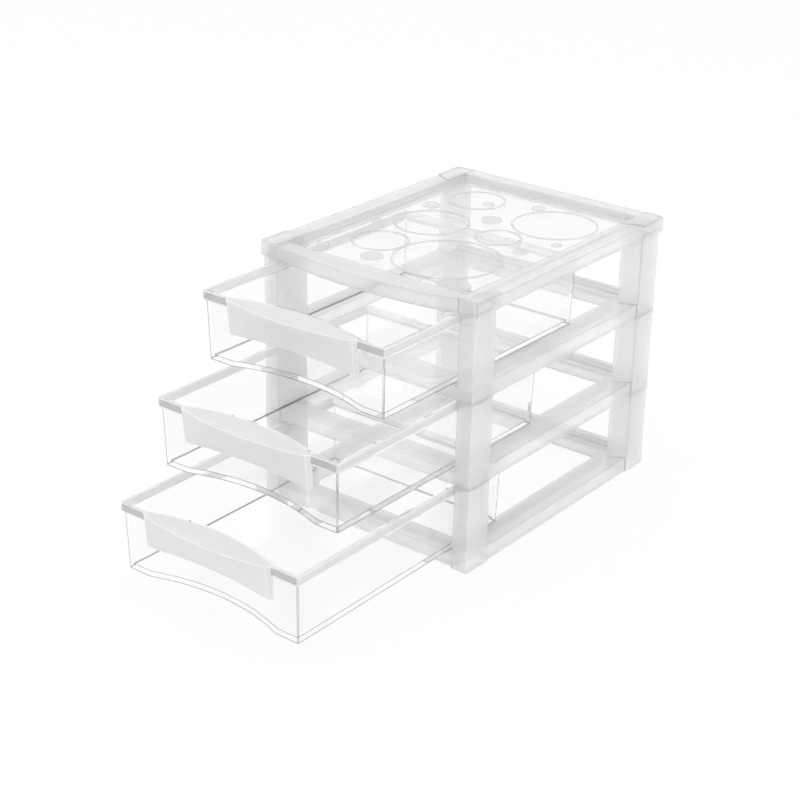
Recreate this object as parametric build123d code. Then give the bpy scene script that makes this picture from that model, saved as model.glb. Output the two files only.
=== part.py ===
from build123d import *
import math
import os

# Three-tier stacking drawer unit for small craft parts, in millimetres.
# +Z is up, the drawers open towards -Y, and the origin is the centre of the
# cabinet's footprint on the surface it stands on.

# ---------------------------------------------------------------- cabinet
cabinet_width = 132.0        # over the posts of one tier, at its base
cabinet_depth = 164.0
tier_pitch = 45.0            # height of one tier frame, seam to seam
tier_names = ["bottom", "middle", "top"]
frame_wall = 1.6             # moulded wall of the frosted frames
frame_draft = 0.4            # how far each post face leans in over its height

# ---------------------------------------------------------------- posts
post_width = 9.5             # along X, front face
post_outer_depth = 17.0      # along Y, at the outside of the cabinet
post_inner_depth = 23.0      # along Y, at the drawer side
post_corner_radius = 1.0
spigot_height = 4.0          # plug on a post that enters the frame above
spigot_clearance = 0.2

# ---------------------------------------------------------------- base ring
ring_height = 8.0            # ledge that the drawer slides on, above the seam
front_bar_drop = 1.0         # front bar lies this much below the ledge
rail_recess = 0.8            # side rails lie this far inside the post faces
bar_recess = 1.6             # front and rear bars, the same
side_ledge_width = 15.0
front_ledge_width = 15.0
rear_ledge_width = 17.0
ring_corner_radius = 4.0     # inner corners of the ring
lip_rise = 1.5               # inner lip ends this far above the seam
stop_rib_from_back = 12.0    # front face of the stop rib, from the cabinet's back
stop_rib_height = 3.0
stop_rib_thickness = 1.5

# ---------------------------------------------------------------- cap
cap_height = 7.5
cap_overhang = 1.0           # cap stands this far outside the post below it
cap_bow = 6.5                # front bar bows forward by this much
cap_side_bar_width = 10.5
cap_front_bar_width = 7.5    # at its ends
cap_rear_bar_width = 8.5
cap_bar_drop = 0.3           # bars lie below the tops of the corner blocks
cap_bar_inset = 0.2          # and this far inside their outer faces
cap_edge_slope = 0.6         # outer edge of the bars falls away by this much
panel_recess = 2.4           # top panel lies this far below the bars
panel_thickness = 1.8
panel_clearance = 0.25
panel_seat_width = 2.5       # flange under the panel's edge
panel_seat_thickness = 1.4

# ---------------------------------------------------------------- ornament
ornament_height = 0.5
ornament_line = 1.3
# centre x, centre y and outer diameter of each raised ring on the top panel
ornament_rings = [
    (16.5, -38.5, 56.0),
    (-23.0, 1.0, 40.0),
    (-25.5, -38.5, 30.0),
    (-26.5, 46.0, 31.0),
    (17.0, 4.0, 24.5),
    (28.0, 39.0, 45.5),
]
# the same for each raised disc
ornament_discs = [
    (-14.5, -59.0, 12.0),
    (-2.0, 24.5, 11.5),
    (37.5, -6.0, 8.5),
    (-18.0, 44.5, 6.5),
    (6.0, 56.5, 8.0),
    (46.0, 14.0, 5.6),
    (-40.5, 23.5, 10.0),
    (-44.0, -61.5, 6.5),
    (-47.0, -15.0, 6.8),
    (41.0, -66.0, 17.0),
]

# ---------------------------------------------------------------- drawers
drawer_length = 157.0        # rim front to rim back
drawer_side_clearance = 0.7  # rim to post, each side
drawer_bottom_clearance = 0.3
drawer_top_clearance = 1.1   # rim to the frame above
drawer_stop_clearance = 0.2  # rim to stop rib when closed
tray_wall = 1.5
tray_floor = 2.0
tray_corner_radius = 0.8     # upright corners, nearly sharp
tray_side_draft = 0.8        # each side leans in from top to bottom
tray_end_draft = 1.2         # front and back, the same
recess_width = 80.0          # curved middle of the drawer front
recess_depth = 7.5
tray_top_drop = 0.3          # top of the clear wall, below the top of the rim
bead_height = 0.6            # bead round the clear wall that the rim sits on
bead_proud = 0.8
rim_height = 4.4
rim_proud = 1.2              # rim stands this far outside the tray wall
rim_chamfer = 0.3            # lower edge of the rim
rim_clearance = 0.1
grip_height = 18.0
grip_lip_bow = 4.8           # middle of the grip's lip, ahead of its ends
grip_end_proud = 1.8         # ends of the lip, ahead of the rim's front
grip_foot_bow = 3.5          # lower edge of the grip curves in by this much
grip_end_bevel = 1.8         # upright ends of the grip are cut off at a slant
grip_wall = 1.6
drawer_opening = {"bottom": 108.0, "middle": 81.0, "top": 49.0}

# ---------------------------------------------------------------- worked out
half_width = cabinet_width / 2
half_depth = cabinet_depth / 2
post_inner_x = half_width - post_width
cap_base_z = tier_pitch * len(tier_names)
cap_top_z = cap_base_z + cap_height
bar_top_z = cap_top_z - cap_bar_drop
panel_top_z = bar_top_z - panel_recess
panel_bottom_z = panel_top_z - panel_thickness
stop_rib_y = half_depth - stop_rib_from_back
rim_half_width = post_inner_x - drawer_side_clearance
tray_half_width = rim_half_width - rim_proud
drawer_bottom = ring_height + drawer_bottom_clearance
drawer_top = tier_pitch - drawer_top_clearance
closed_front_y = stop_rib_y - drawer_stop_clearance - drawer_length
recess_radius = ((recess_width / 2) ** 2 + recess_depth ** 2) / (2 * recess_depth)


def mirrored_corners(solid):
    """One corner piece at +X +Y, repeated at all four corners."""
    pair = solid + solid.mirror(Plane.YZ)
    return pair + pair.mirror(Plane.XZ)


def post_outline(grow):
    """Plan of the +X +Y post: deeper at the drawer side than outside."""
    inner_x = post_inner_x - grow
    outer_x = half_width + grow
    back_y = half_depth + grow
    outer_y = half_depth - post_outer_depth - grow
    inner_y = half_depth - post_inner_depth - grow
    corners = [
        (inner_x, inner_y),
        (outer_x, outer_y),
        (outer_x, back_y),
        (inner_x, back_y),
    ]
    outline = make_face(Polyline(corners, close=True))
    outer_corner = outline.vertices().sort_by(Axis.X)[-2:].sort_by(Axis.Y)[-1:]
    radius = max(post_corner_radius + grow, 0.4)
    return fillet(outer_corner, radius)


def drafted_post(grow_bottom, grow_top, bottom_z, top_z):
    """A post-shaped solid whose outline grows or shrinks on the way up."""
    low = Plane.XY.offset(bottom_z) * post_outline(grow_bottom)
    high = Plane.XY.offset(top_z) * post_outline(grow_top)
    return loft([low.faces()[0], high.faces()[0]], ruled=True)


def rounded_opening(half_x, front_y, back_y, radius, bottom_z, top_z):
    """A block with rounded upright corners, used to cut openings."""
    plan = make_face(Polyline(
        (-half_x, front_y), (half_x, front_y), (half_x, back_y), (-half_x, back_y),
        close=True))
    plan = fillet(plan.vertices(), radius)
    return extrude(Plane.XY.offset(bottom_z) * plan, top_z - bottom_z)


def block(x0, x1, y0, y1, z0, z1):
    """A plain block between two corners."""
    centre = ((x0 + x1) / 2, (y0 + y1) / 2, (z0 + z1) / 2)
    return Pos(*centre) * Box(x1 - x0, y1 - y0, z1 - z0)


def base_ring():
    """Ring of inverted channel that joins the four posts and carries the drawer."""
    rail_x = half_width - rail_recess
    bar_y = half_depth - bar_recess
    open_x = half_width - side_ledge_width
    open_front = -half_depth + front_ledge_width
    open_back = half_depth - rear_ledge_width
    ring = block(-rail_x, rail_x, -bar_y, bar_y, 0, ring_height)
    channel = block(-rail_x + frame_wall, rail_x - frame_wall,
                    -bar_y + frame_wall, bar_y - frame_wall,
                    0, ring_height - frame_wall)
    lip = rounded_opening(open_x + frame_wall, open_front - frame_wall,
                          open_back + frame_wall, ring_corner_radius + frame_wall,
                          lip_rise, ring_height)
    opening = rounded_opening(open_x, open_front, open_back, ring_corner_radius,
                              -1, ring_height + 1)
    front_step = block(-post_inner_x, post_inner_x, -half_depth, open_front,
                       ring_height - front_bar_drop, ring_height)
    front_skin = block(-post_inner_x, post_inner_x, -bar_y, open_front,
                       ring_height - front_bar_drop - frame_wall,
                       ring_height - front_bar_drop)
    return ring - channel + lip + front_skin - front_step - opening


def stop_rib():
    """Low rib on the rear ledge that the closed drawer meets."""
    return block(-post_inner_x, post_inner_x, stop_rib_y, stop_rib_y + stop_rib_thickness,
                 ring_height - frame_wall, ring_height + stop_rib_height)


def tier_frame():
    """One moulded tier: base ring, four hollow posts and their spigots."""
    shoulder = tier_pitch
    posts = drafted_post(0, -frame_draft, 0, shoulder)
    spigot_inset = frame_wall + spigot_clearance
    spigots = drafted_post(-spigot_inset, -spigot_inset, shoulder, shoulder + spigot_height)
    cavity = drafted_post(-frame_wall, -frame_wall - frame_draft, 0, shoulder - frame_wall)
    solid = base_ring() + stop_rib() + mirrored_corners(posts + spigots)
    return solid - mirrored_corners(cavity)


def cap_front_plan(inset):
    """Plan of the bowed front bar, between the corner blocks."""
    end_y = -half_depth - cap_overhang + inset
    inner_y = -half_depth - cap_overhang + cap_front_bar_width
    bow = ThreePointArc((-post_inner_x, end_y), (0, end_y - cap_bow), (post_inner_x, end_y))
    back = Polyline((post_inner_x, end_y), (post_inner_x, inner_y),
                    (-post_inner_x, inner_y), (-post_inner_x, end_y))
    return make_face(bow + back)


def cap_frame():
    """Frosted top frame: corner blocks over the posts, four bars and a panel seat."""
    edge_x = half_width + cap_overhang - cap_bar_inset
    edge_y = half_depth + cap_overhang - cap_bar_inset
    open_x = half_width - cap_side_bar_width
    open_front = -half_depth - cap_overhang + cap_front_bar_width
    open_back = half_depth - cap_rear_bar_width
    crown_z = bar_top_z - cap_edge_slope
    bars = block(-edge_x, edge_x, -half_depth, edge_y, cap_base_z, bar_top_z)
    slope_cut = Plane.XZ * make_face(Polyline(
        (edge_x, crown_z), (edge_x + 1, crown_z), (edge_x + 1, bar_top_z + 1),
        (open_x + frame_wall, bar_top_z + 1), (open_x + frame_wall, bar_top_z),
        close=True))
    side_slope = extrude(slope_cut, cabinet_depth, both=True)
    bars = bars - side_slope - side_slope.mirror(Plane.YZ)
    bow = extrude(Plane.XY.offset(cap_base_z) * cap_front_plan(0), bar_top_z - cap_base_z)
    bars = bars + bow
    hollow = block(-edge_x + frame_wall, edge_x - frame_wall,
                   -half_depth + frame_wall, edge_y - frame_wall,
                   cap_base_z, crown_z - frame_wall)
    bow_hollow = extrude(Plane.XY.offset(cap_base_z) * cap_front_plan(frame_wall),
                         bar_top_z - frame_wall - cap_base_z)
    bars = bars - hollow - bow_hollow
    seat_bottom = panel_bottom_z - panel_seat_thickness
    collar = block(-open_x - frame_wall, open_x + frame_wall,
                   open_front - frame_wall, open_back + frame_wall, seat_bottom, bar_top_z)
    blocks = mirrored_corners(drafted_post(cap_overhang, cap_overhang - 0.3,
                                           cap_base_z, cap_top_z))
    panel_pocket = block(-open_x, open_x, open_front, open_back, panel_bottom_z, cap_top_z + 1)
    seat_opening = block(-open_x + panel_seat_width, open_x - panel_seat_width,
                         open_front + panel_seat_width, open_back - panel_seat_width,
                         cap_base_z - 1, cap_top_z + 1)
    pockets = mirrored_corners(drafted_post(-frame_wall, -frame_wall, cap_base_z,
                                            crown_z - frame_wall))
    return bars + collar + blocks - panel_pocket - seat_opening - pockets


def top_panel():
    """Clear sheet in the cap's seat, with raised rings and discs on it."""
    half_x = half_width - cap_side_bar_width - panel_clearance
    front_y = -half_depth - cap_overhang + cap_front_bar_width + panel_clearance
    back_y = half_depth - cap_rear_bar_width - panel_clearance
    sheet = block(-half_x, half_x, front_y, back_y, panel_bottom_z, panel_top_z)
    pattern = Sketch()
    for x, y, diameter in ornament_rings:
        ring = Circle(diameter / 2) - Circle(diameter / 2 - ornament_line)
        pattern += Pos(x, y) * ring
    for x, y, diameter in ornament_discs:
        pattern += Pos(x, y) * Circle(diameter / 2)
    bound = Pos(0, (front_y + back_y) / 2) * Rectangle(2 * half_x, back_y - front_y)
    pattern = pattern & bound
    return sheet + extrude(Plane.XY.offset(panel_top_z) * pattern, ornament_height)


def drawer_outline(half_x, front_y, back_y, grow):
    """Plan of a drawer: flat corner strips either side of an inward-curved middle."""
    width_x = half_x + grow
    strip_y = front_y - grow
    rear_y = back_y + grow
    arc_radius = recess_radius - grow
    arc_centre_y = front_y + recess_depth - recess_radius
    middle_y = arc_centre_y + arc_radius
    arc_x = math.sqrt(arc_radius ** 2 - (strip_y - arc_centre_y) ** 2)
    front = Polyline((-width_x, strip_y), (-arc_x, strip_y))
    curve = ThreePointArc((-arc_x, strip_y), (0, middle_y), (arc_x, strip_y))
    rest = Polyline((arc_x, strip_y), (width_x, strip_y), (width_x, rear_y),
                    (-width_x, rear_y), (-width_x, strip_y))
    outline = make_face(front + curve + rest)
    corners = [v for v in outline.vertices() if abs(abs(v.X) - width_x) < 0.001]
    return fillet(corners, max(tray_corner_radius + grow / 2, 0.4))


def drawer_block(front_y, bottom_z, top_z, grow):
    """The drafted body of a drawer between two heights, grown by a margin."""
    back_y = front_y + drawer_length - 2 * rim_proud

    def plan(height):
        lean = (drawer_top - height) / (drawer_top - drawer_bottom)
        side = tray_half_width - tray_side_draft * lean
        inset = tray_end_draft * lean
        outline = drawer_outline(side, front_y + inset, back_y - inset, grow)
        return (Plane.XY.offset(height) * outline).faces()[0]

    return loft([plan(bottom_z), plan(top_z)], ruled=True)


def bead_block(front_y, margin):
    """The drawer's outline at the height of the bead, grown by a margin."""
    wall_front = front_y + rim_proud
    wall_back = wall_front + drawer_length - 2 * rim_proud
    outline = drawer_outline(tray_half_width, wall_front, wall_back, bead_proud + margin)
    base_z = drawer_top - rim_height - bead_height
    return extrude(Plane.XY.offset(base_z - margin) * outline, bead_height + margin)


def tray(front_y):
    """Clear open-topped tray of one drawer, with the bead that carries its rim."""
    wall_front = front_y + rim_proud
    top = drawer_top - tray_top_drop
    outside = drawer_block(wall_front, drawer_bottom, top, 0)
    inside = drawer_block(wall_front, drawer_bottom + tray_floor, top + 1, -tray_wall)
    return outside + bead_block(front_y, 0) - inside


def grip_plan(front_y, end_y, bow, inset):
    """Plan of the grip at one height: its front curve, closed behind the tray wall."""
    half_x = recess_width / 2 - inset
    face_x = half_x - grip_end_bevel
    face_y = end_y + inset
    side_y = face_y + grip_end_bevel
    front = ThreePointArc((-face_x, face_y), (0, face_y + bow), (face_x, face_y))
    back_y = front_y + rim_proud + recess_depth + tray_end_draft + tray_wall / 2
    back = Polyline((face_x, face_y), (half_x, side_y), (half_x, back_y),
                    (-half_x, back_y), (-half_x, side_y), (-face_x, face_y))
    return make_face(front + back)


def grip(front_y):
    """Hollow wedge below the lip: it leans back to the wall, and is open underneath."""
    foot_z = drawer_top - grip_height
    roof_z = drawer_top - grip_wall
    lip_y = front_y - grip_end_proud

    def level(height, inset):
        up = (height - foot_z) / grip_height
        end_y = front_y + (lip_y - front_y) * up
        bow = grip_foot_bow - (grip_foot_bow + grip_lip_bow) * up
        plan = grip_plan(front_y, end_y, bow, inset)
        return (Plane.XY.offset(height) * plan).faces()[0]

    outside = loft([level(foot_z, 0), level(drawer_top, 0)], ruled=True)
    hollow = loft([level(foot_z - 1, grip_wall), level(roof_z, grip_wall)], ruled=True)
    return outside - hollow


def rim(front_y):
    """Frosted band round the top of the tray, on the bead, with the grip at its front."""
    wall_front = front_y + rim_proud
    wall_back = wall_front + drawer_length - 2 * rim_proud
    band_z = drawer_top - rim_height

    def plan(height, grow):
        outline = drawer_outline(tray_half_width, wall_front, wall_back, grow)
        return Plane.XY.offset(height) * outline

    skirt = extrude(plan(band_z + rim_chamfer, rim_proud), rim_height - rim_chamfer)
    chamfer_low = plan(band_z, rim_proud - rim_chamfer).faces()[0]
    chamfer_high = plan(band_z + rim_chamfer, rim_proud).faces()[0]
    outside = skirt + loft([chamfer_low, chamfer_high], ruled=True)
    tray_room = drawer_block(wall_front, drawer_bottom, drawer_top + 1, rim_clearance)
    return outside + grip(front_y) - tray_room - bead_block(front_y, rim_clearance)


def write(node, solid):
    """Save one node."""
    solid.label = node
    export_step(solid, os.path.join("parts", node + ".step"))


def build():
    """Place every piece in the cabinet and save it."""
    os.makedirs("parts", exist_ok=True)
    frame = tier_frame()
    for level, name in enumerate(tier_names):
        base_z = level * tier_pitch
        front_y = closed_front_y - drawer_opening[name]
        write(name + "_tier_frame", Pos(0, 0, base_z) * frame)
        write(name + "_drawer_tray", Pos(0, 0, base_z) * tray(front_y))
        write(name + "_drawer_rim", Pos(0, 0, base_z) * rim(front_y))
    write("cap_frame", cap_frame())
    write("top_panel", top_panel())


build()
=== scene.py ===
import math

import bmesh
import bpy
from mathutils import Matrix, Vector


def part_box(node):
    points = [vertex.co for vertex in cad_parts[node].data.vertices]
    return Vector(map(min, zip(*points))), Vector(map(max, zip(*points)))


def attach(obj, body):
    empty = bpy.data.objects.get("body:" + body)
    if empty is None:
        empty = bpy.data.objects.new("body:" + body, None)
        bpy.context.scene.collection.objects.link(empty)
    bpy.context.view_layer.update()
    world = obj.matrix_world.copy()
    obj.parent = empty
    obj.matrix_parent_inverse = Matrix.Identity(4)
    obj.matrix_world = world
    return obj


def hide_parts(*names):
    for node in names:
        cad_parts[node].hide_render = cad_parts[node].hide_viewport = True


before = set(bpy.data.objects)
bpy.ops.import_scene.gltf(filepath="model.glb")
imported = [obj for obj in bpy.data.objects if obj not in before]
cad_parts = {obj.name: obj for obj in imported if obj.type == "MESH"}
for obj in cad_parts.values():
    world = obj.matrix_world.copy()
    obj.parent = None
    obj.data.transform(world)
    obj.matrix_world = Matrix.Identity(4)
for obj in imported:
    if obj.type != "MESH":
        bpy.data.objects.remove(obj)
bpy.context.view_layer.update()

# ---------------------------------------------------------------- camera
# The camera stands in front of the unit's right-hand corner and looks down on
# it, with a long lens and a slight roll, as the photograph was taken.
camera_azimuth = math.radians(37.868)
camera_elevation = math.radians(24.431)
camera_roll = math.radians(1.091)
camera_place = Vector((0.513508, -0.713178, 0.444193))
camera_lens = 81.46


def add_object(name, data):
    """Puts a mesh, a lamp or the camera into the scene as an object."""
    added = bpy.data.objects.new(name, data)
    bpy.context.scene.collection.objects.link(added)
    return added


backward = Vector((
    math.sin(camera_azimuth) * math.cos(camera_elevation),
    -math.cos(camera_azimuth) * math.cos(camera_elevation),
    math.sin(camera_elevation)))
level_right = Vector((math.cos(camera_azimuth), math.sin(camera_azimuth), 0.0))
level_up = backward.cross(level_right)
right = level_right * math.cos(camera_roll) + level_up * math.sin(camera_roll)
up = level_up * math.cos(camera_roll) - level_right * math.sin(camera_roll)
camera_turn = Matrix((right, up, backward)).transposed().to_4x4()
camera_data = bpy.data.cameras.new("camera")
camera_data.sensor_width = 36.0
camera_data.lens = camera_lens
camera = add_object("camera", camera_data)
camera.matrix_world = Matrix.Translation(camera_place) @ camera_turn
bpy.context.scene.camera = camera
bpy.context.scene.view_settings.view_transform = "Standard"

# ---------------------------------------------------------------- tier frames
# Three identical open frames, stacked on each other's spigots. Each is one
# injection moulding in natural polypropylene with a fine matt texture, so it is
# milky. Painted shade: narrow darker lines along its edges stand in for the shade
# that refraction puts there, and its upward faces, ledges included, are painted a
# little darker as shade.
frame_line_width = 0.0003
# The slot of the painted shade on the frame's upward faces.
upward_shade_slot = 2
touching = 1e-6  # what lies this close counts as touching
squarely = 0.9  # how far a face's normal has to point the way that the face looks


def faces_in_band(side, width):
    """The faces that reach into the band on this side of an edge.

    Each comes with its most distance from the edge and its first and last place along it.
    """
    corners, start, along, inward, normal, length = side
    same_surface = 0.95
    waiting = list(dict.fromkeys(face for corner in corners for face in corner.link_faces))
    seen = set(waiting)
    found = []
    while waiting:
        face = waiting.pop()
        if face.normal.dot(normal) < same_surface:
            continue
        steps = [corner.co - start for corner in face.verts]
        depths = [step.dot(inward) for step in steps]
        places = [step.dot(along) for step in steps]
        beside = min(depths) <= width - touching and max(depths) >= touching
        within = min(places) <= length - touching and max(places) >= touching
        if not (beside and within):
            continue
        found.append((face, max(depths), min(places), max(places)))
        for edge in face.edges:
            for neighbour in edge.link_faces:
                if neighbour not in seen:
                    seen.add(neighbour)
                    waiting.append(neighbour)
    return found


def cut(shape, faces, place, direction):
    """Cuts these faces where the plane at the place, square to the direction, meets them."""
    if faces:
        pieces = faces + list(dict.fromkeys(edge for face in faces for edge in face.edges))
        bmesh.ops.bisect_plane(shape, geom=pieces, dist=touching, plane_co=place, plane_no=direction)


def edge_bands(shape, edges, width):
    """Cuts a narrow band into both faces of each edge and gives it the edge material."""
    overrun = 5e-5
    full_depth = width + 1e-5
    sides = []
    for edge in edges:
        corners = tuple(edge.verts)
        start, end = corners[0].co.copy(), corners[1].co.copy()
        along = (end - start).normalized()
        for face in edge.link_faces:
            inward = face.normal.cross(along).normalized()
            if inward.dot(face.calc_center_median() - start) < 0:
                inward.negate()
            sides.append((corners, start, along, inward, face.normal.copy(), (end - start).length))
    for side in sides:
        corners, start, along, inward, normal, length = side
        wide = [face for face, deep, first, last in faces_in_band(side, width)
                if deep > width + touching]
        cut(shape, wide, start + inward * width, inward)
        for place in (0.0, length):
            crossing = [face for face, deep, first, last in faces_in_band(side, width)
                        if deep < full_depth and first < place - overrun and last > place + overrun]
            cut(shape, crossing, start + along * place, along)
    for side in sides:
        length = side[-1]
        for face, deep, first, last in faces_in_band(side, width):
            if deep < full_depth and -overrun < (first + last) / 2 < length + overrun:
                face.material_index = 1


# The edge material laid along the edges is a painted line: painted shade on frames and trays, a
# painted highlight on rims.
def moulded_piece(node, name, body, edge, line_width, sharp_angle=30.0, narrowest=0.0,
                  plain_top=0.0, inner_uprights=True):
    """A CAD node's shape, its triangles joined, with a band of edge material along its edges.

    Upright facets at the corners get the edge material too, if they are narrower than
    the narrowest width. The edges in the plain top, and the inner upright ones where
    they aren't asked for, stay as they are.
    """
    joined_within = 2e-6
    shortest_edge = 5e-6
    corner_reach = 0.004
    upright_face = 0.3
    upright_line = 0.8
    low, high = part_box(node)
    middle = (low + high) / 2
    lined_below = high.z + touching - plain_top
    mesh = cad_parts[node].data.copy()
    mesh.name = name
    mesh.materials.clear()
    mesh.materials.append(body)
    mesh.materials.append(edge)
    if "custom_normal" in mesh.attributes:
        mesh.attributes.remove(mesh.attributes["custom_normal"])
    shape = bmesh.new()
    shape.from_mesh(mesh)
    bmesh.ops.remove_doubles(shape, verts=shape.verts, dist=joined_within)
    bmesh.ops.dissolve_degenerate(shape, dist=shortest_edge, edges=shape.edges)
    for face in shape.faces:
        face.smooth = True
        width = 2 * face.calc_area() / max(side.calc_length() for side in face.edges)
        place = face.calc_center_median()
        outside = face.normal.dot(place - middle) > 0 and place.z < lined_below
        at_corner = abs(place.x - middle.x) > (high.x - low.x) / 2 - corner_reach
        upright = abs(face.normal.z) < upright_face
        narrow = upright and at_corner and outside and width < narrowest
        face.material_index = 1 if narrow else 0
    shape.normal_update()
    sharp = []
    for line in shape.edges:
        if len(line.link_faces) != 2 or line.calc_face_angle(0.0) < math.radians(sharp_angle):
            continue
        start, end = line.verts[0].co, line.verts[1].co
        outward = line.link_faces[0].normal + line.link_faces[1].normal
        upright = abs((end - start).normalized().z) > upright_line
        lined = inner_uprights or not upright or outward.dot((start + end) / 2 - middle) > 0
        if lined and min(start.z, end.z) < lined_below:
            sharp.append(line)
    edge_bands(shape, sharp, line_width)
    shape.to_mesh(mesh)
    shape.free()
    mesh.set_sharp_from_angle(angle=math.radians(sharp_angle))
    return add_object(name, mesh)


def same_moulding(first, first_node, node, name):
    """Another piece from the same mould, moved to where its CAD node stands."""
    mesh = first.data.copy()
    mesh.name = name
    mesh.transform(Matrix.Translation(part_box(node)[0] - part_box(first_node)[0]))
    return add_object(name, mesh)


def let_light_through(material, shader, lamp_share):
    """Lamps shine through the wall, weakened to this share, as they do through thin plastic."""
    nodes, links = material.node_tree.nodes, material.node_tree.links
    rays = nodes.new("ShaderNodeLightPath")
    passing = nodes.new("ShaderNodeBsdfTransparent")
    passing.inputs["Color"].default_value = (lamp_share, lamp_share, lamp_share, 1.0)
    wall = nodes.new("ShaderNodeMixShader")
    links.new(rays.outputs["Is Shadow Ray"], wall.inputs["Fac"])
    links.new(shader.outputs["BSDF"], wall.inputs[1])
    links.new(passing.outputs["BSDF"], wall.inputs[2])
    links.new(wall.outputs["Shader"], nodes["Material Output"].inputs["Surface"])


def milky_plastic(name, colour, clouded, clearness, roughness, lamp_share=0.95):
    """Milky moulded plastic: partly see-through, clouded a little, with a fine matt grain."""
    material = bpy.data.materials.new(name)
    material.use_nodes = True
    nodes, links = material.node_tree.nodes, material.node_tree.links
    shader = nodes["Principled BSDF"]
    shader.inputs["Alpha"].default_value = 1.0 - clearness
    shader.inputs["Subsurface Weight"].default_value = 0.6
    shader.inputs["Subsurface Scale"].default_value = 0.002
    shader.inputs["Subsurface Radius"].default_value = (1.0, 1.0, 1.0)
    shader.inputs["IOR"].default_value = 1.49
    place = nodes.new("ShaderNodeTexCoord")
    cloud = nodes.new("ShaderNodeTexNoise")
    cloud.inputs["Scale"].default_value = 45.0
    cloud.inputs["Detail"].default_value = 3.0
    tint = nodes.new("ShaderNodeMix")
    tint.data_type = "RGBA"
    tint.inputs["A"].default_value = (*colour, 1.0)
    tint.inputs["B"].default_value = (*clouded, 1.0)
    gloss = nodes.new("ShaderNodeMapRange")
    gloss.inputs["To Min"].default_value = roughness - 0.05
    gloss.inputs["To Max"].default_value = roughness + 0.05
    grain = nodes.new("ShaderNodeTexNoise")
    grain.inputs["Scale"].default_value = 2600.0
    grain.inputs["Detail"].default_value = 2.0
    bump = nodes.new("ShaderNodeBump")
    bump.inputs["Strength"].default_value = 0.12
    bump.inputs["Distance"].default_value = 0.00005
    links.new(place.outputs["Object"], cloud.inputs["Vector"])
    links.new(place.outputs["Object"], grain.inputs["Vector"])
    links.new(cloud.outputs["Fac"], tint.inputs["Factor"])
    links.new(cloud.outputs["Fac"], gloss.inputs["Value"])
    links.new(tint.outputs["Result"], shader.inputs["Base Color"])
    links.new(gloss.outputs["Result"], shader.inputs["Roughness"])
    links.new(grain.outputs["Fac"], bump.inputs["Height"])
    links.new(bump.outputs["Normal"], shader.inputs["Normal"])
    let_light_through(material, shader, lamp_share)
    return material


frosted_frame = milky_plastic("frosted_frame", colour=(0.81, 0.81, 0.805), clouded=(0.77, 0.77, 0.765),
                              clearness=0.55, roughness=0.4, lamp_share=0.96)
# Painted shade: darker lines along the frame's edges.
frosted_painted_edge_shade = milky_plastic("frosted_painted_edge_shade", colour=(0.50, 0.50, 0.50), clouded=(0.46, 0.46, 0.465),
                             clearness=0.25, roughness=0.35)
# Painted shade: the frame's upward faces, ledges included, a little darker.
frosted_upward_painted_shade = milky_plastic("frosted_upward_painted_shade", colour=(0.70, 0.70, 0.70), clouded=(0.66, 0.66, 0.665),
                              clearness=0.45, roughness=0.4, lamp_share=0.96)
first_tier = moulded_piece("bottom_tier_frame", "bottom_tier_moulding",
                           frosted_frame, frosted_painted_edge_shade, frame_line_width)
first_tier.data.materials.append(frosted_upward_painted_shade)
# Every upward face of the frame gets the painted shade.
for face in first_tier.data.polygons:
    if face.material_index == 0 and face.normal.z > squarely:
        face.material_index = upward_shade_slot
tiers = {"bottom": first_tier}
for level in ("middle", "top"):
    tiers[level] = same_moulding(first_tier, "bottom_tier_frame",
                                 level + "_tier_frame", level + "_tier_moulding")
for level, tier in tiers.items():
    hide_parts(level + "_tier_frame")
    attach(tier, "cabinet")

# ---------------------------------------------------------------- cap frame
# The frame on top of the stack, from the same milky plastic: four corner blocks
# pushed over the spigots, and hollow bars between them that hold the panel.
cap = moulded_piece("cap_frame", "cap_moulding", frosted_frame, frosted_painted_edge_shade, frame_line_width)
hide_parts("cap_frame")
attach(cap, "cabinet")

# ---------------------------------------------------------------- top panel
# A clear sheet let into the cap, moulded in polystyrene, with softened edges. Its
# surface is wavy from the mould and carries the low beads of the next sections.
bead_height = 0.0005
panel_edge_radius = 0.0003


def clear_plastic(name, colour, roughness):
    """Water-clear moulded plastic with the faint waviness of its mould."""
    material = bpy.data.materials.new(name)
    material.use_nodes = True
    nodes, links = material.node_tree.nodes, material.node_tree.links
    shader = nodes["Principled BSDF"]
    shader.inputs["Base Color"].default_value = (*colour, 1.0)
    shader.inputs["Transmission Weight"].default_value = 0.97
    shader.inputs["IOR"].default_value = 1.06
    shader.inputs["Coat Weight"].default_value = 0.7
    shader.inputs["Coat Roughness"].default_value = roughness
    shader.inputs["Coat IOR"].default_value = 1.45
    place = nodes.new("ShaderNodeTexCoord")
    haze = nodes.new("ShaderNodeTexNoise")
    haze.inputs["Scale"].default_value = 60.0
    haze.inputs["Detail"].default_value = 4.0
    gloss = nodes.new("ShaderNodeMapRange")
    gloss.inputs["From Min"].default_value = 0.35
    gloss.inputs["From Max"].default_value = 0.75
    gloss.inputs["To Min"].default_value = roughness
    gloss.inputs["To Max"].default_value = roughness * 2.5
    wave = nodes.new("ShaderNodeTexNoise")
    wave.inputs["Scale"].default_value = 35.0
    wave.inputs["Detail"].default_value = 1.0
    bump = nodes.new("ShaderNodeBump")
    bump.inputs["Strength"].default_value = 0.15
    bump.inputs["Distance"].default_value = 0.0002
    links.new(place.outputs["Object"], haze.inputs["Vector"])
    links.new(place.outputs["Object"], wave.inputs["Vector"])
    links.new(haze.outputs["Fac"], gloss.inputs["Value"])
    links.new(gloss.outputs["Result"], shader.inputs["Roughness"])
    links.new(wave.outputs["Fac"], bump.inputs["Height"])
    links.new(bump.outputs["Normal"], shader.inputs["Normal"])
    let_light_through(material, shader, 1.0)
    return material


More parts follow.
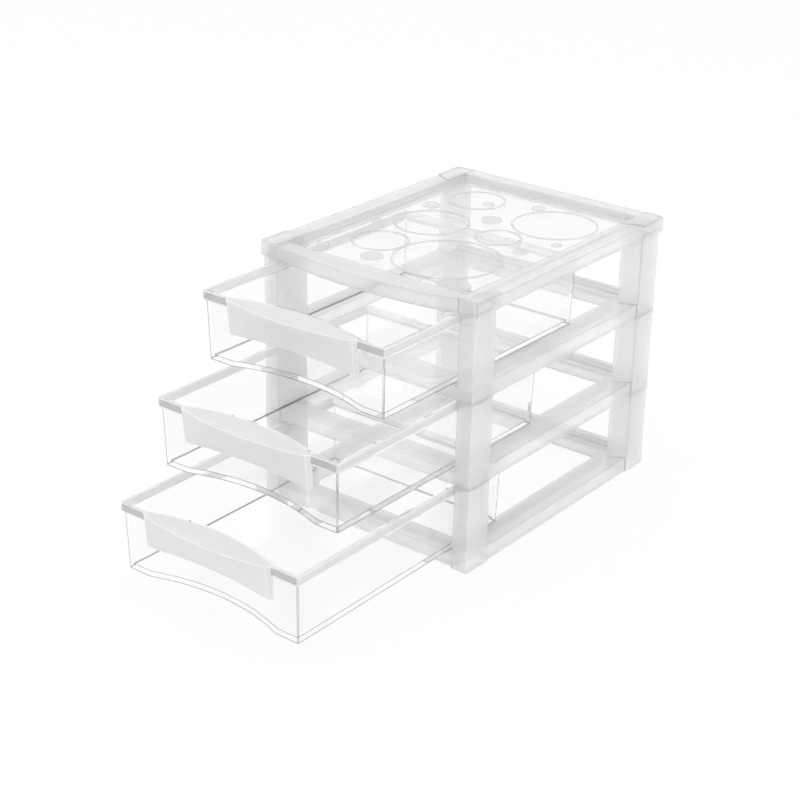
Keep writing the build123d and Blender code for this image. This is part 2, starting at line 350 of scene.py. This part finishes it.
panel_low, panel_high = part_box("top_panel")
sheet_top = panel_high.z - bead_height
panel_mesh = bpy.data.meshes.new("clear_panel_sheet")
shape = bmesh.new()
bmesh.ops.create_cube(shape, size=1.0)
for vertex in shape.verts:
    vertex.co.x = panel_low.x if vertex.co.x < 0 else panel_high.x
    vertex.co.y = panel_low.y if vertex.co.y < 0 else panel_high.y
    vertex.co.z = panel_low.z if vertex.co.z < 0 else sheet_top
bmesh.ops.bevel(shape, geom=shape.edges[:], offset=panel_edge_radius, segments=2,
                affect="EDGES", profile=0.5)
shape.to_mesh(panel_mesh)
shape.free()
panel_mesh.materials.append(clear_plastic("clear_panel", colour=(0.97, 0.975, 0.975), roughness=0.03))
panel = add_object("clear_panel_sheet", panel_mesh)
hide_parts("top_panel")
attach(panel, "cabinet")

# ---------------------------------------------------------------- panel rings
# Six raised rings on the sheet, moulded in one piece with it, with a matt face
# and rounded corners. They run over the sheet in the photographed pattern.
bead_width = 0.0013
bead_sunk = 0.0001
bead_corner_radius = 0.00018
ring_centres = [  # x, y and outer diameter in mm
    (16.5, -38.5, 56.0), (-23.0, 1.0, 40.0), (-25.5, -38.5, 30.0),
    (-26.5, 46.0, 31.0), (17.0, 4.0, 24.5), (28.0, 39.0, 45.5)]
matt_bead = milky_plastic("matt_bead", colour=(0.66, 0.66, 0.66), clouded=(0.63, 0.63, 0.63),
                          clearness=0.58, roughness=0.35)


def centre_points(name, centres):
    """A mesh of loose points at the centres, each with its radius in metres."""
    mesh = bpy.data.meshes.new(name)
    mesh.from_pydata([(x / 1000, y / 1000, sheet_top) for x, y, diameter in centres], [], [])
    radius = mesh.attributes.new("bead_radius", "FLOAT", "POINT")
    radius.data.foreach_set("value", [diameter / 2000 for x, y, diameter in centres])
    return add_object(name, mesh)


def new_tree(name, sizes):
    """An empty geometry tree with one named input for each size."""
    tree = bpy.data.node_groups.new(name, "GeometryNodeTree")
    tree.interface.new_socket("Geometry", in_out="INPUT", socket_type="NodeSocketGeometry")
    for size in sizes:
        tree.interface.new_socket(size, in_out="INPUT", socket_type="NodeSocketFloat")
    tree.interface.new_socket("Geometry", in_out="OUTPUT", socket_type="NodeSocketGeometry")
    return tree


def maths(tree, operation, *values):
    """A Math node on these values, each a number or another node's output."""
    node = tree.nodes.new("ShaderNodeMath")
    node.operation = operation
    for place, value in enumerate(values):
        if isinstance(value, float):
            node.inputs[place].default_value = value
        else:
            tree.links.new(value, node.inputs[place])
    return node.outputs[0]


def radius_here(tree):
    """The radius that each point carries."""
    stored = tree.nodes.new("GeometryNodeInputNamedAttribute")
    stored.data_type = "FLOAT"
    stored.inputs["Name"].default_value = "bead_radius"
    return stored.outputs["Attribute"]


def copies_on_points(tree, points, copied, radius):
    """A real copy of the unit shape on each point, widened to the radius."""
    widened = tree.nodes.new("ShaderNodeCombineXYZ")
    widened.inputs["Z"].default_value = 1.0
    placed = tree.nodes.new("GeometryNodeInstanceOnPoints")
    real = tree.nodes.new("GeometryNodeRealizeInstances")
    tree.links.new(radius, widened.inputs["X"])
    tree.links.new(radius, widened.inputs["Y"])
    tree.links.new(points, placed.inputs["Points"])
    tree.links.new(copied, placed.inputs["Instance"])
    tree.links.new(widened.outputs["Vector"], placed.inputs["Scale"])
    tree.links.new(placed.outputs["Instances"], real.inputs["Geometry"])
    return real.outputs["Geometry"]


def lifted(tree, geometry, height):
    """The geometry, moved up by the height."""
    lift = tree.nodes.new("ShaderNodeCombineXYZ")
    moved = tree.nodes.new("GeometryNodeTransform")
    tree.links.new(height, lift.inputs["Z"])
    tree.links.new(geometry, moved.inputs["Geometry"])
    tree.links.new(lift.outputs["Vector"], moved.inputs["Translation"])
    return moved.outputs["Geometry"]


def end_tree(tree, geometry, material):
    """Gives the geometry the material and hands it out."""
    finish = tree.nodes.new("GeometryNodeSetMaterial")
    finish.inputs["Material"].default_value = material
    result = tree.nodes.new("NodeGroupOutput")
    tree.links.new(geometry, finish.inputs["Geometry"])
    tree.links.new(finish.outputs["Geometry"], result.inputs["Geometry"])


def grown(points, tree, sizes):
    """Runs the tree on the points with these sizes and keeps the plain mesh."""
    growth = points.modifiers.new("growth", "NODES")
    growth.node_group = tree
    for item in tree.interface.items_tree:
        if item.in_out == "INPUT" and item.name in sizes:
            growth[item.identifier] = sizes[item.name]
    evaluated = points.evaluated_get(bpy.context.evaluated_depsgraph_get())
    mesh = bpy.data.meshes.new_from_object(evaluated)
    points.modifiers.remove(growth)
    points.data = mesh
    mesh.name = points.name
    return points


ring_sizes = {"Bead width": bead_width, "Bead height": bead_height, "Sunk depth": bead_sunk}
ring_tree = new_tree("bead_rings", ring_sizes)
nodes, links = ring_tree.nodes, ring_tree.links
given = nodes.new("NodeGroupInput")
circle = nodes.new("GeometryNodeCurvePrimitiveCircle")
circle.inputs["Resolution"].default_value = 128
circle.inputs["Radius"].default_value = 1.0
profile = nodes.new("GeometryNodeCurvePrimitiveQuadrilateral")
softened = nodes.new("GeometryNodeFilletCurve")
softened.mode = "POLY"
softened.inputs["Count"].default_value = 3
softened.inputs["Radius"].default_value = bead_corner_radius
swept = nodes.new("GeometryNodeCurveToMesh")
swept.inputs["Fill Caps"].default_value = False
middle_radius = maths(ring_tree, "MULTIPLY_ADD", given.outputs["Bead width"], -0.5,
                      radius_here(ring_tree))
circles = copies_on_points(ring_tree, given.outputs["Geometry"], circle.outputs["Curve"],
                           middle_radius)
full_height = maths(ring_tree, "ADD", given.outputs["Bead height"], given.outputs["Sunk depth"])
height_shown = maths(ring_tree, "SUBTRACT", given.outputs["Bead height"],
                     given.outputs["Sunk depth"])
links.new(given.outputs["Bead width"], profile.inputs["Width"])
links.new(full_height, profile.inputs["Height"])
links.new(profile.outputs["Curve"], softened.inputs["Curve"])
links.new(circles, swept.inputs["Curve"])
links.new(softened.outputs["Curve"], swept.inputs["Profile Curve"])
raised = lifted(ring_tree, swept.outputs["Mesh"], maths(ring_tree, "MULTIPLY", height_shown, 0.5))
end_tree(ring_tree, raised, matt_bead)
rings = grown(centre_points("panel_rings", ring_centres), ring_tree, ring_sizes)
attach(rings, "cabinet")

# ---------------------------------------------------------------- panel discs
# Ten solid discs between the rings, as high as they are and matt too. Their
# sides lean in a little, so that they leave the mould.
disc_centres = [  # x, y and diameter in mm
    (-14.5, -59.0, 12.0), (-2.0, 24.5, 11.5), (37.5, -6.0, 8.5), (-18.0, 44.5, 6.5),
    (6.0, 56.5, 8.0), (46.0, 14.0, 5.6), (-40.5, 23.5, 10.0), (-44.0, -61.5, 6.5),
    (-47.0, -15.0, 6.8), (41.0, -66.0, 17.0)]
disc_top_share = 0.97
disc_sizes = {"Bead height": bead_height, "Sunk depth": bead_sunk}
disc_tree = new_tree("bead_discs", disc_sizes)
nodes, links = disc_tree.nodes, disc_tree.links
given = nodes.new("NodeGroupInput")
disc = nodes.new("GeometryNodeMeshCone")
disc.inputs["Vertices"].default_value = 64
disc.inputs["Radius Top"].default_value = disc_top_share
disc.inputs["Radius Bottom"].default_value = 1.0
full_height = maths(disc_tree, "ADD", given.outputs["Bead height"], given.outputs["Sunk depth"])
links.new(full_height, disc.inputs["Depth"])
sunk = lifted(disc_tree, disc.outputs["Mesh"],
              maths(disc_tree, "MULTIPLY", given.outputs["Sunk depth"], -1.0))
copies = copies_on_points(disc_tree, given.outputs["Geometry"], sunk, radius_here(disc_tree))
end_tree(disc_tree, copies, matt_bead)
discs = grown(centre_points("panel_discs", disc_centres), disc_tree, disc_sizes)
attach(discs, "cabinet")

# ---------------------------------------------------------------- drawer trays
# Three water-clear open trays in polystyrene, drafted on all sides, with the
# middle of the front curved inward. Each slides on the ledge of its tier. Painted
# shade: dark lines along its edges, darker where they are seen edge-on, stand in
# for the shade that refraction puts on clear plastic edges.
clear_tray = clear_plastic("clear_tray", colour=(0.975, 0.98, 0.98), roughness=0.015)
# Painted shade: dark lines along the tray's edges, darker where seen edge-on.
clear_painted_edge_shade = milky_plastic("clear_painted_edge_shade", colour=(0.13, 0.135, 0.14), clouded=(0.10, 0.105, 0.11),
                           clearness=0.4, roughness=0.2)
nodes, links = clear_painted_edge_shade.node_tree.nodes, clear_painted_edge_shade.node_tree.links
edge_on = nodes.new("ShaderNodeLayerWeight")
edge_on.inputs["Blend"].default_value = 0.5
cover = nodes.new("ShaderNodeMapRange")
cover.inputs["From Min"].default_value = 0.05
cover.inputs["From Max"].default_value = 0.6
cover.inputs["To Min"].default_value = 0.15
cover.inputs["To Max"].default_value = 0.85
links.new(edge_on.outputs["Facing"], cover.inputs["Value"])
links.new(cover.outputs["Result"], nodes["Principled BSDF"].inputs["Alpha"])
first_tray = moulded_piece("bottom_drawer_tray", "bottom_clear_tray", clear_tray, clear_painted_edge_shade,
                           line_width=0.0004, sharp_angle=25.0, narrowest=0.0005,
                           plain_top=0.006, inner_uprights=False)
trays = {"bottom": first_tray}
for level in ("middle", "top"):
    trays[level] = same_moulding(first_tray, "bottom_drawer_tray",
                                 level + "_drawer_tray", level + "_clear_tray")
for level, tray in trays.items():
    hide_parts(level + "_drawer_tray")
    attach(tray, level + "_drawer")

# ---------------------------------------------------------------- drawer rims
# A milky band that rests on a low bead round each tray's wall, moulded in one
# piece with the hollow finger grip that hangs from its bowed lip. One plastic is
# given painted light and shade: the grip and its top are painted lighter, the
# flats beside the grip painted darker as shade, the rear painted lighter and
# clearer as if lit from behind, and the edges carry a painted highlight.
grip_half_width = 0.0402
grip_reach = 0.0145
rear_band_start = 0.15
# Slots of the painted light and shade on the rim.
grip_light_slot, lip_light_slot, front_shade_slot, rear_light_slot = 2, 3, 4, 5
frosted_rim = milky_plastic("frosted_rim", colour=(0.72, 0.72, 0.72), clouded=(0.68, 0.68, 0.685),
                            clearness=0.4, roughness=0.32)
# Painted highlight: lighter lines along the rim's edges.
rim_painted_highlight = milky_plastic("rim_painted_highlight", colour=(0.83, 0.83, 0.83), clouded=(0.80, 0.80, 0.80),
                         clearness=0.15, roughness=0.3)
# Painted light: the grip lighter than the band.
frosted_grip_painted_light = milky_plastic("frosted_grip_painted_light", colour=(0.80, 0.80, 0.80), clouded=(0.77, 0.77, 0.775),
                             clearness=0.25, roughness=0.32)
# Painted light: the grip's top made lighter, hiding the dark hollow below.
frosted_lip_painted_light = milky_plastic("frosted_lip_painted_light", colour=(0.73, 0.73, 0.73), clouded=(0.70, 0.70, 0.705),
                            clearness=0.1, roughness=0.32)
# Painted shade: the flats beside the grip darker.
frosted_front_painted_shade = milky_plastic("frosted_front_painted_shade", colour=(0.50, 0.50, 0.505), clouded=(0.46, 0.46, 0.465),
                              clearness=0.35, roughness=0.32)
# Painted light: the rear band lighter and clearer, as if lit from behind.
frosted_rear_painted_light = milky_plastic("frosted_rear_painted_light", colour=(0.90, 0.90, 0.90), clouded=(0.87, 0.87, 0.87),
                             clearness=0.72, roughness=0.32, lamp_share=0.97)
first_rim = moulded_piece("bottom_drawer_rim", "bottom_rim_and_grip", frosted_rim, rim_painted_highlight,
                          line_width=0.00025, sharp_angle=28.0)
for material in (frosted_grip_painted_light, frosted_lip_painted_light, frosted_front_painted_shade, frosted_rear_painted_light):
    first_rim.data.materials.append(material)
rim_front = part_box("bottom_drawer_rim")[0].y
# Gives the grip, its top, the front flats and the rear their painted light and shade.
for face in first_rim.data.polygons:
    if face.material_index != 0:
        continue
    if face.center.y < rim_front + grip_reach:
        if abs(face.center.x) < grip_half_width:
            face.material_index = lip_light_slot if face.normal.z > squarely else grip_light_slot
        elif face.normal.y < -squarely:
            face.material_index = front_shade_slot
    elif face.center.y > rim_front + rear_band_start:
        face.material_index = rear_light_slot
rims = {"bottom": first_rim}
for level in ("middle", "top"):
    rims[level] = same_moulding(first_rim, "bottom_drawer_rim",
                                level + "_drawer_rim", level + "_rim_and_grip")
for level, rim in rims.items():
    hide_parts(level + "_drawer_rim")
    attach(rim, level + "_drawer")

# ---------------------------------------------------------------- floor
# A plain white floor. The camera, reflections and clear plastic see it nearly
# white, and it still takes the unit's soft shadow.
floor_reach = 4.0
floor_grey = 0.86
floor_white_share = 0.88
floor_corners = [(-floor_reach, -floor_reach, 0), (floor_reach, -floor_reach, 0),
                 (floor_reach, floor_reach, 0), (-floor_reach, floor_reach, 0)]
floor_mesh = bpy.data.meshes.new("floor")
floor_mesh.from_pydata(floor_corners, [], [(0, 1, 2, 3)])
floor = add_object("floor", floor_mesh)
floor_paint = bpy.data.materials.new("floor_paint")
floor_paint.use_nodes = True
floor_tree = floor_paint.node_tree
nodes, links = floor_tree.nodes, floor_tree.links
nodes.clear()
paint = nodes.new("ShaderNodeBsdfDiffuse")
paint.inputs["Color"].default_value = (floor_grey, floor_grey, floor_grey, 1)
white = nodes.new("ShaderNodeEmission")
white.inputs["Color"].default_value = (1, 1, 1, 1)
rays = nodes.new("ShaderNodeLightPath")
blend = nodes.new("ShaderNodeMixShader")
out = nodes.new("ShaderNodeOutputMaterial")
camera_or_gloss = maths(floor_tree, "MAXIMUM", rays.outputs["Is Camera Ray"],
                        rays.outputs["Is Glossy Ray"])
seen = maths(floor_tree, "MAXIMUM", camera_or_gloss, rays.outputs["Is Transmission Ray"])
links.new(maths(floor_tree, "MULTIPLY", seen, floor_white_share), blend.inputs["Fac"])
links.new(paint.outputs["BSDF"], blend.inputs[1])
links.new(white.outputs["Emission"], blend.inputs[2])
links.new(blend.outputs["Shader"], out.inputs["Surface"])
floor_mesh.materials.append(floor_paint)

# ---------------------------------------------------------------- studio light
# A white backdrop and a wide even light all round, which reflections see darker
# overhead, with a soft box over the unit and one at each side.
world = bpy.data.worlds.new("studio")
bpy.context.scene.world = world
world.use_nodes = True
studio_tree = world.node_tree
nodes, links = studio_tree.nodes, studio_tree.links
nodes.clear()
sky_place = nodes.new("ShaderNodeTexCoord")
sky_height = nodes.new("ShaderNodeSeparateXYZ")
sky_shade = nodes.new("ShaderNodeMapRange")
sky_shade.inputs["From Min"].default_value = 0.05
sky_shade.inputs["From Max"].default_value = 0.6
sky_shade.inputs["To Min"].default_value = 1.0
sky_shade.inputs["To Max"].default_value = 0.6
reflected = nodes.new("ShaderNodeBackground")
reflected.inputs["Color"].default_value = (1, 1, 1, 1)
even_light = nodes.new("ShaderNodeBackground")
even_light.inputs["Color"].default_value = (1, 1, 1, 1)
even_light.inputs["Strength"].default_value = 1.05
backdrop = nodes.new("ShaderNodeBackground")
backdrop.inputs["Color"].default_value = (1, 1, 1, 1)
backdrop.inputs["Strength"].default_value = 1.0
rays = nodes.new("ShaderNodeLightPath")
lighting = nodes.new("ShaderNodeMixShader")
choice = nodes.new("ShaderNodeMixShader")
out = nodes.new("ShaderNodeOutputWorld")
spread = maths(studio_tree, "MAXIMUM", rays.outputs["Is Diffuse Ray"],
               rays.outputs["Is Transmission Ray"])
links.new(sky_place.outputs["Generated"], sky_height.inputs["Vector"])
links.new(sky_height.outputs["Z"], sky_shade.inputs["Value"])
links.new(sky_shade.outputs["Result"], reflected.inputs["Strength"])
links.new(spread, lighting.inputs["Fac"])
links.new(reflected.outputs["Background"], lighting.inputs[1])
links.new(even_light.outputs["Background"], lighting.inputs[2])
links.new(rays.outputs["Is Camera Ray"], choice.inputs["Fac"])
links.new(lighting.outputs["Shader"], choice.inputs[1])
links.new(backdrop.outputs["Background"], choice.inputs[2])
links.new(choice.outputs["Shader"], out.inputs["Surface"])

lit_point = Vector((0, -0.05, 0.07))
for name, place, size, power in (  # place and size in metres, power in watts
        ("top_box", (-0.2, -0.3, 1.1), 1.1, 2.2),
        ("left_box", (-1.1, -0.9, 0.7), 0.7, 1.5),
        ("right_box", (1.2, -0.2, 0.6), 0.7, 2.5)):
    lamp_data = bpy.data.lights.new(name, "AREA")
    lamp_data.size = size
    lamp_data.energy = power
    lamp = add_object(name, lamp_data)
    lamp.location = place
    lamp.rotation_euler = (lit_point - Vector(place)).to_track_quat("-Z", "Y").to_euler()
